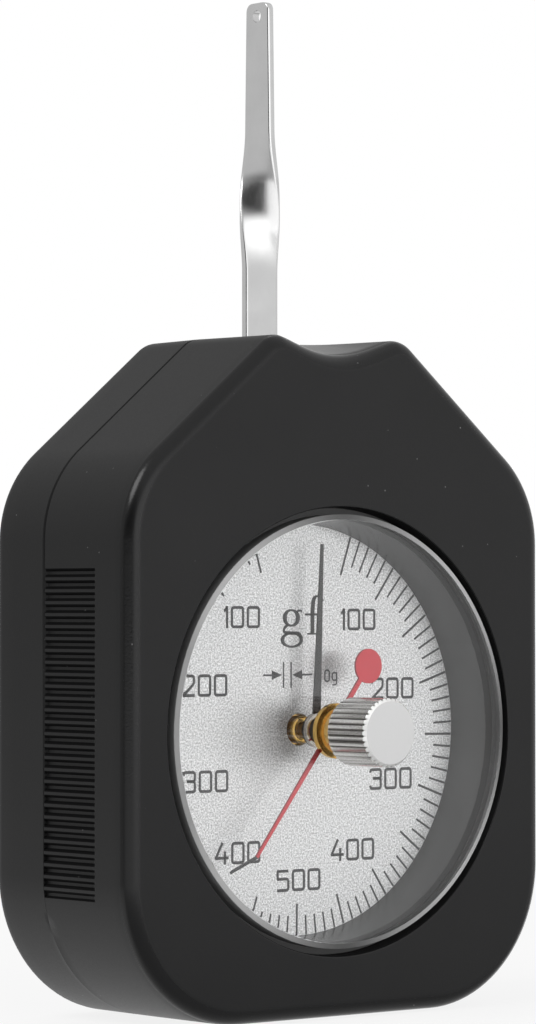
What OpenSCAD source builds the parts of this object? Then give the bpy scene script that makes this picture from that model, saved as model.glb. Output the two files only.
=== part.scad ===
// Dial tension gauge: a two-part case, a swinging feeler geared to a needle, and a memory hand with its knob.
// Millimetres. X to the right, Y to the back, Z up. The origin is in the middle of the flat base, on the
// parting plane of the two case halves.

/* [Case] */
// Width of the case beside the window
side_rim = 5.4; // [4:0.1:10]
// Height of the case below the window
base_rim = 6.7; // [5.5:0.1:10]
// Depth of the front half
front_depth = 14.8; // [14.2:0.1:18]
// Depth of the rear half
rear_depth = 9.5; // [9.2:0.1:14]
// Radius of the base corners
base_radius = 15.85; // [12:0.05:18]
// Radius between a side and its slope
flank_radius = 12.95; // [8:0.05:16]
// Radius between a slope and the top
shoulder_radius = 3.6; // [2:0.1:5]
// Half width of the top, to the sharp corner
shoulder_half = 9.7; // [9:0.1:12]
// Drop from the shoulders to the sharp corner between a side and its slope
flank_fall = 16.6; // [12:0.1:19]
// Rounding of the front edge
front_edge = 1.7; // [0.8:0.1:2.2]
// Rounding of the rear edge
rear_edge = 1.9; // [0.8:0.1:2.2]
// Draft of the walls, in mm per mm of depth
draft = 0.01; // [0:0.002:0.02]
// Thickness of the walls
wall = 2; // [1.6:0.1:2.4]
// Depth of the thumb scoop at the front
scoop_depth = 2.1; // [1:0.1:2.6]

/* [Grips] */
// Grooves on each side
grip_count = 28; // [12:1:30]
// Distance from groove to groove
grip_pitch = 1.28; // [1:0.01:1.4]
// Depth of a groove
grip_depth = 0.5; // [0.2:0.05:0.8]
// Length of a groove from the parting plane
grip_length = 9; // [5:0.5:11]

/* [Window and dial] */
// Radius of the opening
window_radius = 24.6; // [22:0.05:28]
// Open groove round the crystal
crystal_gap = 0.8; // [0.3:0.05:0.9]
// Thickness of the crystal
crystal_thickness = 2.2; // [1.6:0.1:2.4]
// Depth from the case front to the dial
dial_depth = 8.6; // [8.4:0.1:9]
// Thickness of the dial
dial_thickness = 0.6; // [0.4:0.1:0.8]

/* [Hands] */
// Length of the needle from the axis
needle_length = 20.6; // [14:0.1:21.5]
// Angle of the needle at rest, clockwise from the top
needle_rest = 2.5; // [-3:0.5:3]
// Length of the memory hand to its bend
memory_length = 17.2; // [12:0.1:18]
// Angle of the memory hand at rest, clockwise from the top
memory_rest = -142; // [-170:0.5:-40]
// Diameter of the reset knob
knob_diameter = 7.5; // [6.5:0.1:9]
// Length of the reset knob
knob_length = 6.4; // [4:0.1:8]
// Ridges round the reset knob
knob_ridges = 36; // [18:1:44]

/* [Feeler] */
// Reach of the tip over the case
tip_reach = 38.3; // [30:0.1:50]
// Thickness of the strip
strip_thickness = 0.9; // [0.7:0.05:1.1]
// Width of the strip below the twist
strip_width = 4.65; // [4:0.05:5]
// Width of the strip at the tip
tip_width = 3.88; // [3:0.02:4.2]
// Height over the case where the twist starts
twist_rise = 7.6; // [5:0.1:12]
// Length of the twist
twist_length = 16.5; // [9:0.1:20]
// Diameter of the hole near the tip
tip_hole = 1.4; // [1:0.1:1.8]

/* [Movement] */
// Module of the teeth
tooth_module = 0.41; // [0.405:0.005:0.415]
// Teeth of the pinion
pinion_teeth = 12; // [12:1:12]
// Teeth of the sector on a full circle
sector_teeth = 144; // [144:1:144]
// Swing of the lever to each side, in degrees
lever_swing = 15; // [10:0.5:15]
// Coils of the main spring
spring_coils = 2.25; // [1.5:0.25:2.5]
// Coils of the hairspring
hair_coils = 4.5; // [3:0.5:5]

/* [Hidden] */
$fn = 96;

// clearances
seat_gap = 0.02;
running_gap = 0.05;
hand_gap = 0.3;
swing_gap = 0.6;
spring_room = 0.82;

// case round the window
case_width = 2 * (window_radius + side_rim);
dial_height = window_radius + base_rim;

// planes along Y
front_y = -front_depth;
rear_y = rear_depth;
crystal_y = front_y - 0.17;
crystal_back_y = crystal_y + crystal_thickness;
ledge_y = crystal_back_y + 0.35;
dial_y = front_y + dial_depth;
plate_y = dial_y + dial_thickness;
plate_back_y = plate_y + 1.2;
rear_plate_y = 3;
rear_plate_back_y = 4.2;
hand_spacing = 2.45;
bush_y = crystal_back_y + 0.8;
memory_y = bush_y + 0.3;
needle_y = memory_y + hand_spacing;
hand_thickness = 0.25;
feeler_y = -0.3;
feeler_front_y = feeler_y - strip_thickness / 2;
feeler_back_y = feeler_y + strip_thickness / 2;
flange_thickness = 0.9;
sector_thickness = 1;
sector_back_y = feeler_front_y - flange_thickness;
sector_y = sector_back_y - sector_thickness;
pinion_y = sector_y - 0.5;
pinion_back_y = sector_back_y + 0.5;
knob_back_y = front_y - 1.3;
knob_y = knob_back_y - knob_length;

// movement
pinion_pitch = tooth_module * pinion_teeth / 2;
sector_pitch = tooth_module * sector_teeth / 2;
pivot_height = dial_height + pinion_pitch + sector_pitch;
spring_strip = 1.2;
spring_outer = 8.6;
spring_lift = 0.4;
spring_width = 2.5;
case_height = pivot_height + spring_outer + wall + spring_room;
flank_height = case_height - flank_fall;
tip_height = case_height + tip_reach;
twist_start = case_height + twist_rise;
sector_half = lever_swing + 5.5;
eye_radius = 5.2;
boss_radius = 2.6;
rivet_circle = 3.9;
rivet_radius = 0.6;
pin_radius = 1;
pin_circle = 20;
pin_turn = lever_swing + sector_half + asin((pin_radius + 0.2) / pin_circle);
collet_radius = 2.8;
stud_radius = 0.8;
lever_bush = 2.4;
lever_shaft = 1.5;
lever_nose = 1;
lever_tail = 1.3;
rear_bush = 2;
case_screw = 8;
case_screw_radius = 1;
case_screw_head = 2.3;
hair_collet = 1.5;
hair_strip = 0.25;
hair_outer = 6.4;
hair_stud = 0.6;
spring_end = -90;
hair_end = 180;
screw_head = 1.65;
screw_slot = 0.4;
plate_screw = 5.2;
pillar_screw = 4.2;
memory_eye = 2.2;
dial_bush = 1.5;
dial_bush_seat = 2.6;
collar = 1.95;
collar_nose = 1.6;
needle_eye = 1.9;
memory_collar = 1.8;
memory_collar_nose = 1.6;
memory_width = 0.55;
memory_end = 0.34;
counter_reach = 8.95;
counter_radius = 1.92;
tab_length = 2.64;
tab_width = 0.3;
tab_turn = 11.5;
bush_radius = 2.4;
bush_flange = 3.05;

// fastening points, right-hand side
case_points = [[21.5, case_height - 19.7], [20.5, 10]];
plate_points = [[14.5, pivot_height - 4.78], [10, wall + 3.2]];
pillar_points = [[11.5, pivot_height + 0.72], [8, dial_height - 16.3]];

// case outline
slope = atan2(case_height - flank_height, case_width / 2 - shoulder_half);
flank_drop = flank_radius * tan((90 - slope) / 2);
shoulder_in = shoulder_radius * tan(slope / 2);
scoop_half = shoulder_half - shoulder_in;

function arc(c, r, from, to, n) = [
    for (i = [0:n])
        let (a = from + (to - from) * i / n)
        c + r * [cos(a), sin(a)]
];
function flip(p) = [for (i = [len(p) - 1:-1:0]) [-p[i].x, p[i].y]];
function scoop(t, depth) = depth * pow(max(0, 1 - t * t), 1.35);

// right half of the outline, set in by inset all round, and by lean everywhere but on the base
function half_ring(inset, lean) = concat(
    arc([case_width / 2 - base_radius - lean, base_radius], base_radius - inset, -90, 0, 12),
    arc([case_width / 2 - flank_radius, flank_height - flank_drop], flank_radius - inset - lean, 0,
        90 - slope, 8),
    arc([scoop_half, case_height - shoulder_radius], shoulder_radius - inset - lean, 90 - slope, 90, 6)
);

// closed outline whose top sinks by depth in the middle
function case_ring(inset, lean, depth) = concat(
    half_ring(inset, lean),
    [for (i = [1:15]) let (t = 1 - i / 8) [scoop_half * t, case_height - inset - lean - scoop(t, depth)]],
    flip(half_ring(inset, lean))
);

function at_y(p, y) = [for (q = p) [q.x, y, q.y]];

// solid through closed rings of equal count, the first ring in front, each end closed round its middle
module loft(rings) {
    n = len(rings[0]);
    last = (len(rings) - 1) * n;
    front = last + n;
    back = front + 1;
    ends = [for (r = [rings[0], rings[len(rings) - 1]]) [0, r[0].y, case_height / 2]];
    polyhedron(
        points = concat([for (r = rings) each r], ends),
        faces = concat(
            [for (i = [0:n - 1]) [front, (i + 1) % n, i]],
            [for (k = [0:len(rings) - 2], i = [0:n - 1]) [k * n + i, k * n + (i + 1) % n, (k + 1) * n + i]],
            [for (k = [0:len(rings) - 2], i = [0:n - 1])
                [k * n + (i + 1) % n, (k + 1) * n + (i + 1) % n, (k + 1) * n + i]],
            [for (i = [0:n - 1]) [back, last + i, last + (i + 1) % n]]
        ),
        convexity = 6
    );
}

// flat outline in X and Z, from y0 back to y1
module prism(y0, y1) {
    translate([0, y1, 0])
        rotate([90, 0, 0])
            linear_extrude(y1 - y0)
                children();
}

// round bar along Y
module rod(p, y0, y1, r) {
    translate([p.x, y0, p.y])
        rotate([-90, 0, 0])
            cylinder(h = y1 - y0, r = r);
}

// body of revolution about Y, from a profile of radius and y
module turned(p, profile) {
    translate([p.x, 0, p.y])
        rotate([-90, 0, 0])
            rotate_extrude()
                polygon(profile);
}

// the points on both sides
function both(points) = [for (p = points, s = [1, -1]) [s * p.x, p.y]];

axis = [0, dial_height];
pivot = [0, pivot_height];

// Case

module front_body() {
    loft([
        for (a = [90:-15:0])
            let (y = front_y + front_edge * (1 - sin(a)))
            at_y(case_ring(front_edge * (1 - cos(a)), -draft * y, -scoop_depth * y / front_depth), y),
        at_y(case_ring(0, 0, 0), 0)
    ]);
}

// V grooves that end in a slope at the front
module grips() {
    for (i = [0:grip_count - 1], s = [1, -1])
        translate([s * (case_width / 2 + 0.1), 0, dial_height + (i - (grip_count - 1) / 2) * grip_pitch])
            let (h = 0.42 * grip_pitch, d = s * (grip_depth + 0.1), y = -grip_length)
            polyhedron(
                points = [
                    [0, 0.1, -h], [0, 0.1, h], [-d, 0.1, 0],
                    [0, y, -h], [0, y, h], [-d, y + 0.8, 0]
                ],
                faces = s < 0
                    ? [[0, 2, 1], [3, 4, 5], [0, 1, 4, 3], [1, 2, 5, 4], [2, 0, 3, 5]]
                    : [[0, 1, 2], [3, 5, 4], [0, 3, 4, 1], [1, 4, 5, 2], [2, 5, 3, 0]]
            );
}

module feeler_slot() {
    half = (case_height - pivot_height) * tan(lever_swing) + strip_width / 2 / cos(lever_swing) + swing_gap;
    translate([-half, feeler_front_y - 0.5, pivot_height + 4])
        cube([2 * half, strip_thickness + 1, case_height - pivot_height]);
}

module front_case() color([0.05, 0.05, 0.05]) {
    difference() {
        union() {
            difference() {
                front_body();
                prism(ledge_y, 1)
                    polygon(case_ring(wall, draft * front_depth, scoop_depth));
            }
            rod(axis, ledge_y - 0.2, dial_y, window_radius + 0.8);
            for (p = both(case_points))
                rod(p, ledge_y - 0.2, 0, 3.2);
            for (p = both(plate_points))
                rod(p, ledge_y - 0.2, plate_y, 2.3);
        }
        rod(axis, front_y - 1, ledge_y, window_radius);
        turned(axis, [[0, front_y - 0.1], [window_radius + 0.25, front_y - 0.1],
            [window_radius, front_y + 0.15], [0, front_y + 0.15]]);
        turned(axis, [[0, ledge_y - 0.1], [window_radius - 1.2, ledge_y - 0.1],
            [window_radius - 1.8, dial_y + 0.1], [0, dial_y + 0.1]]);
        for (p = both(case_points))
            rod(p, -case_screw - 0.5, 1, case_screw_radius + running_gap);
        for (p = both(plate_points))
            rod(p, plate_y - 4.5, plate_y + 1, 0.8);
        grips();
        feeler_slot();
    }
}

module rear_case() color([0.05, 0.05, 0.05]) {
    difference() {
        union() {
            difference() {
                loft([
                    at_y(case_ring(0, 0, 0), 0),
                    for (a = [0:15:90])
                        let (y = rear_y - rear_edge * (1 - sin(a)))
                        at_y(case_ring(rear_edge * (1 - cos(a)), draft * y, 0), y)
                ]);
                prism(-1, rear_y - wall)
                    polygon(case_ring(wall, draft * rear_y, 0));
            }
            for (p = both(case_points))
                rod(p, 0, rear_y - wall + 0.2, 3.6);
        }
        for (p = both(case_points)) {
            rod(p, -1, rear_y + 1, case_screw_radius + 0.25);
            rod(p, rear_y - 2.2, rear_y + 1, case_screw_head + 0.2);
        }
        feeler_slot();
    }
}

module case_screws() color([0.35, 0.35, 0.36]) {
    for (p = both(case_points))
        difference() {
            union() {
                rod(p, -case_screw, rear_y - 2, case_screw_radius);
                rod(p, rear_y - 2.2, rear_y - 0.7, case_screw_head);
            }
            translate([p.x - 0.25, rear_y - 1.4, p.y - 3])
                cube([0.5, 2, 6]);
            translate([p.x - 3, rear_y - 1.4, p.y - 0.25])
                cube([6, 2, 0.5]);
        }
}

module crystal() color([0.85, 0.9, 0.92, 0.35]) {
    r = window_radius - crystal_gap;
    hole = bush_radius + seat_gap;
    turned(axis, [[hole, crystal_y], [r - 0.65, crystal_y], [r, crystal_y + 0.17], [r, crystal_back_y],
        [hole, crystal_back_y]]);
}

module crystal_gasket() color([0.03, 0.03, 0.03]) {
    turned(axis, [[window_radius - 1.15, crystal_back_y], [window_radius - 0.1, crystal_back_y],
        [window_radius - 0.1, ledge_y], [window_radius - 1.15, ledge_y]]);
}

module crystal_bush() color([0.72, 0.58, 0.3]) {
    turned(axis, [[1.25, crystal_y - 0.1], [bush_radius, crystal_y - 0.1], [bush_radius, crystal_back_y],
        [bush_flange, crystal_back_y], [bush_flange, bush_y - 0.15], [bush_flange - 0.15, bush_y],
        [1.25, bush_y]]);
}

module dial_plate() color([0.8, 0.8, 0.8]) {
    r = window_radius - 0.4;
    turned(axis, [[1.8, dial_y], [r, dial_y], [r, plate_y], [1.8, plate_y]]);
}

// Movement, held still

plate_top = [[9, pivot_height + 6.2], [17.2, pivot_height - 3.3], [17.2, pivot_height - 11.3]];

module front_plate() color([0.75, 0.62, 0.33]) {
    half = concat(plate_top, [[13.2, dial_height], [13.2, plate_points[1].y - 2.3]]);
    difference() {
        prism(plate_y, plate_back_y)
            polygon(concat(half, flip(half)));
        rod(pivot, plate_y - 1, plate_back_y + 1, lever_bush);
        rod(axis, plate_y - 1, plate_back_y + 1, dial_bush_seat);
        for (p = both(plate_points))
            rod(p, plate_y - 1, plate_back_y + 1, 0.9);
        for (p = both(pillar_points))
            rod(p, plate_y - 1, plate_back_y + 1, 1);
    }
}

module rear_plate() color([0.75, 0.62, 0.33]) {
    half = concat(plate_top, [[11, dial_height - 2], [11, pillar_points[1].y - 3]]);
    difference() {
        prism(rear_plate_y, rear_plate_back_y)
            polygon(concat(half, flip(half)));
        rod(pivot, rear_plate_y - 1, rear_plate_back_y + 1, lever_bush);
        rod(axis, rear_plate_y - 1, rear_plate_back_y + 1, rear_bush);
        for (p = both(pillar_points))
            rod(p, rear_plate_y - 1, rear_plate_back_y + 1, 0.9);
    }
}

module plate_pillars() color([0.7, 0.7, 0.7]) {
    for (p = both(pillar_points))
        difference() {
            union() {
                rod(p, plate_back_y, rear_plate_y, 1.8);
                rod(p, plate_y, plate_back_y + 0.2, 1 - seat_gap);
            }
            rod(p, rear_plate_y - 3.5, rear_plate_y + 1, 0.8);
        }
}

// slotted cheese-head screw pointing to the front, its head on y
module small_screw(p, y, length, r) {
    difference() {
        union() {
            rod(p, y - length, y + 0.2, r);
            rod(p, y, y + 1.1, screw_head);
        }
        translate([p.x - 1.2 * screw_head, y + 0.65, p.y - screw_slot / 2])
            cube([2.4 * screw_head, 1, screw_slot]);
    }
}

module pillar_screws() color([0.4, 0.42, 0.5]) {
    for (p = both(pillar_points))
        small_screw(p, rear_plate_back_y, pillar_screw, 0.78);
}

module plate_screws() color([0.4, 0.42, 0.5]) {
    for (p = both(plate_points))
        small_screw(p, plate_back_y, plate_screw, 0.78);
}

module lever_bushes() color([0.8, 0.66, 0.3]) {
    r = lever_bush - seat_gap;
    turned(pivot, [[lever_nose + running_gap, plate_y], [r, plate_y], [r, plate_back_y + 0.3],
        [lever_nose + running_gap, plate_back_y + 0.3]]);
    turned(pivot, [[lever_tail + running_gap, rear_plate_y - 0.3], [r, rear_plate_y - 0.3],
        [r, rear_plate_back_y], [lever_tail + running_gap, rear_plate_back_y]]);
}

module needle_front_bush() color([0.8, 0.66, 0.3]) {
    seat = dial_bush_seat - seat_gap;
    turned(axis, [
        [0.8 + running_gap, dial_y - 0.8], [dial_bush - 0.2, dial_y - 0.8], [dial_bush, dial_y - 0.6],
        [dial_bush, plate_y], [seat, plate_y], [seat, plate_back_y + 0.4],
        [0.8 + running_gap, plate_back_y + 0.4]
    ]);
}

module needle_rear_bush() color([0.8, 0.66, 0.3]) {
    turned(axis, [[0.6 + running_gap, rear_plate_y - 0.2], [rear_bush - seat_gap, rear_plate_y - 0.2],
        [rear_bush - seat_gap, rear_plate_back_y + 0.2], [0.6 + running_gap, rear_plate_back_y + 0.2]]);
}

module stop_pins() color([0.6, 0.6, 0.62]) {
    for (s = [1, -1])
        rod(pivot + pin_circle * [s * sin(pin_turn), -cos(pin_turn)], plate_back_y, sector_back_y + 0.2,
            pin_radius);
}

// flat strip wound from r0 out to r1, its middle line at those radii, its outer end in the direction end
function coil(r0, r1, turns, strip, end) = let (n = ceil(turns * 28)) [
    for (s = [1, -1], i = [0:n])
        let (t = s > 0 ? i / n : 1 - i / n, a = end - 360 * turns * (1 - t))
        (r0 + (r1 - r0) * t + s * strip / 2) * [cos(a), sin(a)]
];

module main_spring() color([0.45, 0.48, 0.58]) {
    r0 = collet_radius + seat_gap + spring_strip / 2;
    r1 = spring_outer - spring_strip / 2;
    echo(main_spring_gap = (r1 - r0) / spring_coils - spring_strip);
    prism(rear_plate_back_y + spring_lift, rear_plate_back_y + spring_lift + spring_width)
        translate(pivot)
            polygon(coil(r0, r1, spring_coils, spring_strip, spring_end));
}

module spring_stud() color([0.6, 0.6, 0.62]) {
    p = pivot + (spring_outer + stud_radius + seat_gap) * [cos(spring_end), sin(spring_end)];
    rod(p, rear_plate_back_y, rear_plate_back_y + spring_lift + spring_width, stud_radius);
}

module hairspring() color([0.45, 0.48, 0.58]) {
    r0 = hair_collet + seat_gap + hair_strip / 2;
    r1 = hair_outer - hair_strip / 2;
    echo(hairspring_gap = (r1 - r0) / hair_coils - hair_strip);
    prism(0.7, 1.5)
        translate(axis)
            polygon(coil(r0, r1, hair_coils, hair_strip, hair_end));
}

module hairspring_stud() color([0.6, 0.6, 0.62]) {
    p = axis + (hair_outer + hair_stud + seat_gap) * [cos(hair_end), sin(hair_end)];
    rod(p, 0.5, rear_plate_y, hair_stud);
}

// Lever

function ease(t) = t * t * (3 - 2 * t);

// strip section at the height z, turned by a about Z
function strip_section(z, w, a) = [
    for (c = [[-1, -1], [1, -1], [1, 1], [-1, 1]])
        let (x = c.x * w / 2, y = c.y * strip_thickness / 2)
        [x * cos(a) - y * sin(a), feeler_y + x * sin(a) + y * cos(a), z]
];

twist_end = twist_start + twist_length;
upper_width = strip_width - (strip_width - tip_width) * 0.4;

// the whole strip in one: straight, twisted by a quarter turn, and tapered to a tip with round corners
module strip() {
    steps = 24;
    corner = 0.9;
    rings = concat(
        [strip_section(pivot_height, strip_width, 0)],
        [for (i = [0:steps])
            let (t = i / steps)
            strip_section(twist_start + twist_length * t, strip_width + (upper_width - strip_width) * t,
                -90 * ease(t))],
        [for (b = [0:11.25:90])
            strip_section(tip_height - corner * (1 - sin(b)), tip_width - 2 * corner * (1 - cos(b)), -90)]
    );
    n = 4;
    last = len(rings) - 1;
    polyhedron(
        points = [for (r = rings) each r],
        faces = concat(
            [[0, 1, 2, 3]],
            [for (k = [0:last - 1], i = [0:n - 1]) [k * n + i, (k + 1) * n + i, k * n + (i + 1) % n]],
            [for (k = [0:last - 1], i = [0:n - 1])
                [k * n + (i + 1) % n, (k + 1) * n + i, (k + 1) * n + (i + 1) % n]],
            [[for (i = [n - 1:-1:0]) last * n + i]]
        )
    );
}

module feeler() color([0.78, 0.78, 0.79]) {
    difference() {
        union() {
            rod(pivot, feeler_front_y, feeler_back_y, eye_radius);
            strip();
        }
        rod(pivot, feeler_front_y - 1, feeler_back_y + 1, boss_radius + seat_gap);
        rivet_holes(feeler_front_y - 1, feeler_back_y + 1);
        translate([-strip_thickness, feeler_y, tip_height - 1.5])
            rotate([0, 90, 0])
                cylinder(h = 2 * strip_thickness, r = tip_hole / 2);
    }
}

module rivet_holes(y0, y1) {
    for (a = [90, 210, 330])
        rod(pivot + rivet_circle * [cos(a), sin(a)], y0, y1, rivet_radius + seat_gap);
}

module lever_hub() color([0.72, 0.6, 0.33]) {
    difference() {
        turned(pivot, [[lever_shaft + seat_gap, sector_y], [boss_radius, sector_y],
            [boss_radius, sector_back_y],
            [eye_radius, sector_back_y], [eye_radius, feeler_front_y], [boss_radius, feeler_front_y],
            [boss_radius, feeler_back_y + 0.5], [lever_shaft + seat_gap, feeler_back_y + 0.5]]);
        rivet_holes(sector_y - 1, feeler_back_y + 1);
    }
}

module lever_rivets() color([0.75, 0.75, 0.76]) {
    for (a = [90, 210, 330]) {
        p = pivot + rivet_circle * [cos(a), sin(a)];
        turned(p, [[0, sector_y - 0.4], [0.8, sector_y - 0.4], [1, sector_y - 0.2], [1, sector_y],
            [rivet_radius, sector_y], [rivet_radius, feeler_back_y], [1, feeler_back_y],
            [1, feeler_back_y + 0.2],
            [0.8, feeler_back_y + 0.4], [0, feeler_back_y + 0.4]]);
    }
}

module lever_arbor() color([0.62, 0.62, 0.64]) {
    turned(pivot, [[0, plate_y + 0.1], [lever_nose, plate_y + 0.1], [lever_nose, plate_back_y + 0.4],
        [lever_shaft, plate_back_y + 0.4], [lever_shaft, rear_plate_y - 0.4],
        [lever_tail, rear_plate_y - 0.4],
        [lever_tail, rear_plate_back_y + spring_lift + spring_width + 0.1],
        [0, rear_plate_back_y + spring_lift + spring_width + 0.1]]);
}

// half angle of an involute tooth at the radius r, thinned at the pitch circle
function tooth_half(teeth, r) =
    let (
        pitch = tooth_module * teeth / 2,
        base = pitch * cos(20),
        at = acos(min(1, base / max(r, base)))
    )
    90 / teeth - 0.015 / pitch * 180 / PI + (tan(20) - tan(at)) * 180 / PI - 20 + at;

// one tooth about the direction a, from its right-hand root to its left-hand root
function tooth(teeth, a, root, top) = let (n = 6) concat(
    [for (i = [0:n])
        let (r = root + (top - root) * i / n, b = a - tooth_half(teeth, r))
        r * [cos(b), sin(b)]],
    [for (i = [n:-1:0])
        let (r = root + (top - root) * i / n, b = a + tooth_half(teeth, r))
        r * [cos(b), sin(b)]]
);

module sector_gear() color([0.78, 0.64, 0.34]) {
    step = 360 / sector_teeth;
    count = floor(sector_half / step - 0.5);
    root = sector_pitch - 1.1 * tooth_module;
    top = sector_pitch + 0.75 * tooth_module;
    difference() {
        prism(sector_y, sector_back_y)
            translate(pivot)
                difference() {
                    union() {
                        circle(eye_radius);
                        polygon(concat(
                            [[0, 0], root * [-sin(sector_half), -cos(sector_half)]],
                            [for (i = [-count:count]) each tooth(sector_teeth, -90 + i * step, root, top)],
                            [root * [sin(sector_half), -cos(sector_half)]]
                        ));
                    }
                    for (s = [1, -1])
                        polygon([
                            9 * [s * sin(0.3 * sector_half), -cos(0.3 * sector_half)],
                            9 * [s * sin(0.72 * sector_half), -cos(0.72 * sector_half)],
                            25.5 * [s * sin(0.86 * sector_half), -cos(0.86 * sector_half)],
                            25.5 * [s * sin(0.12 * sector_half), -cos(0.12 * sector_half)]
                        ]);
                }
        rod(pivot, sector_y - 1, sector_back_y + 1, boss_radius + seat_gap);
        rivet_holes(sector_y - 1, sector_back_y + 1);
    }
}

module spring_collet() color([0.75, 0.62, 0.33]) {
    turned(pivot, [[lever_tail + seat_gap, rear_plate_back_y + 0.3], [collet_radius, rear_plate_back_y + 0.3],
        [collet_radius, rear_plate_back_y + spring_lift + spring_width],
        [lever_tail + seat_gap, rear_plate_back_y + spring_lift + spring_width]]);
}

// Needle

module pinion_arbor() color([0.66, 0.66, 0.68]) {
    root = pinion_pitch - 1.15 * tooth_module;
    top = pinion_pitch + 0.9 * tooth_module;
    prism(pinion_y, pinion_back_y)
        translate(axis)
            polygon([for (i = [0:pinion_teeth - 1])
                each tooth(pinion_teeth, 90 + (i + 0.5) * 360 / pinion_teeth, root, top)]);
    turned(axis, [[0, needle_y - 0.6], [0.6, needle_y - 0.6], [0.6, dial_y - 1.2], [0.8, dial_y - 1.2],
        [0.8, rear_plate_y - 0.3], [0.6, rear_plate_y - 0.3], [0.6, rear_plate_back_y],
        [0, rear_plate_back_y]]);
}

module needle_hub() color([0.8, 0.8, 0.8]) {
    turned(axis, [
        [0.6 + seat_gap, needle_y - 0.7], [collar_nose, needle_y - 0.7], [collar, needle_y - 0.5],
        [collar, needle_y], [1.1, needle_y], [1.1, needle_y + hand_thickness],
        [1.5, needle_y + hand_thickness], [1.5, needle_y + 0.45], [1.2, needle_y + 0.6],
        [0.6 + seat_gap, needle_y + 0.6]
    ]);
}

module needle() color([0.04, 0.04, 0.04]) {
    translate([0, 0, dial_height])
        rotate([0, needle_rest, 0])
            prism(needle_y, needle_y + hand_thickness)
                difference() {
                    union() {
                        circle(needle_eye);
                        polygon([[-0.55, 0], [0.55, 0], [0.15, needle_length], [-0.15, needle_length]]);
                    }
                    circle(1.1 + seat_gap);
                }
}

module hairspring_collet() color([0.75, 0.62, 0.33]) {
    turned(axis, [[0.8 + seat_gap, 0.4], [hair_collet, 0.4], [hair_collet, 1.8], [0.8 + seat_gap, 1.8]]);
}

// Memory hand

module memory_hand() color([0.75, 0.08, 0.12]) {
    tab_back = needle_y - hand_gap - memory_y;
    translate([0, 0, dial_height])
        rotate([0, memory_rest, 0]) {
            prism(memory_y, memory_y + hand_thickness)
                difference() {
                    union() {
                        circle(memory_eye);
                        translate([0, -counter_reach])
                            circle(counter_radius);
                        polygon([
                            [-memory_width / 2, -counter_reach],
                            [memory_width / 2, -counter_reach],
                            [memory_width / 2, 0],
                            [memory_end / 2, memory_length],
                            [-memory_end / 2, memory_length],
                            [-memory_width / 2, 0]
                        ]);
                    }
                    circle(1.2 + seat_gap);
                }
            translate([0, 0, memory_length])
                rotate([0, tab_turn, 0])
                    rotate([90, 0, 90])
                        translate([0, 0, -tab_width / 2])
                            linear_extrude(tab_width)
                                polygon([
                                    [memory_y, -0.4],
                                    [memory_y, 0],
                                    [memory_y + tab_back, tab_length],
                                    [memory_y + tab_back, tab_length - 0.36],
                                    [memory_y + hand_thickness, -0.1],
                                    [memory_y + hand_thickness, -0.4]
                                ]);
        }
}

module memory_hub() color([0.8, 0.8, 0.8]) {
    turned(axis, [
        [1.2 + seat_gap, memory_y + hand_thickness], [memory_collar, memory_y + hand_thickness],
        [memory_collar, memory_y + 0.8], [memory_collar_nose, memory_y + 1], [1.2 + seat_gap, memory_y + 1]
    ]);
}

module reset_spindle() color([0.66, 0.66, 0.68]) {
    rod(axis, knob_y + 1.5, memory_y + 1, 1.2);
}

module friction_washer() color([0.74, 0.6, 0.32]) {
    lip = bush_radius - 0.1;
    turned(axis, [[1.3, knob_back_y], [1.6, knob_back_y], [lip, crystal_y - 0.4], [lip, crystal_y - 0.1],
        [lip - 0.3, crystal_y - 0.1], [1.3, knob_back_y + 0.35]]);
}

module reset_knob() color([0.85, 0.85, 0.85]) {
    r = knob_diameter / 2;
    difference() {
        intersection() {
            prism(knob_y, knob_back_y)
                translate(axis)
                    polygon([for (i = [0:2 * knob_ridges - 1])
                        (r - (i % 2) * 0.25) * [cos(180 * i / knob_ridges), sin(180 * i / knob_ridges)]]);
            turned(axis, [[0, knob_y], [r - 0.35, knob_y], [r + 0.05, knob_y + 0.4],
                [r + 0.05, knob_back_y - 0.35], [r - 0.3, knob_back_y], [0, knob_back_y]]);
        }
        rod(axis, knob_y + 1.5 - seat_gap, knob_back_y + 1, 1.2 + seat_gap);
    }
}

front_case();
rear_case();
case_screws();
crystal();
crystal_gasket();
crystal_bush();
dial_plate();
front_plate();
rear_plate();
plate_pillars();
pillar_screws();
plate_screws();
lever_bushes();
needle_front_bush();
needle_rear_bush();
stop_pins();
main_spring();
spring_stud();
hairspring();
hairspring_stud();
feeler();
lever_hub();
lever_rivets();
lever_arbor();
sector_gear();
spring_collet();
pinion_arbor();
needle_hub();
needle();
hairspring_collet();
memory_hand();
memory_hub();
reset_spindle();
friction_washer();
reset_knob();
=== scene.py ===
# A dial tension gauge in black moulded plastic: silver dial behind a clear crystal, black needle, red memory
# hand with its knurled reset knob, and a twisted nickelled feeler. The sections follow the gauge as it is put
# together, in millimetres from the middle of the base, X to the right, Y to the back and Z up.
import bpy
import bmesh
import numpy as np
from math import radians
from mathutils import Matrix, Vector, geometry


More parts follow.
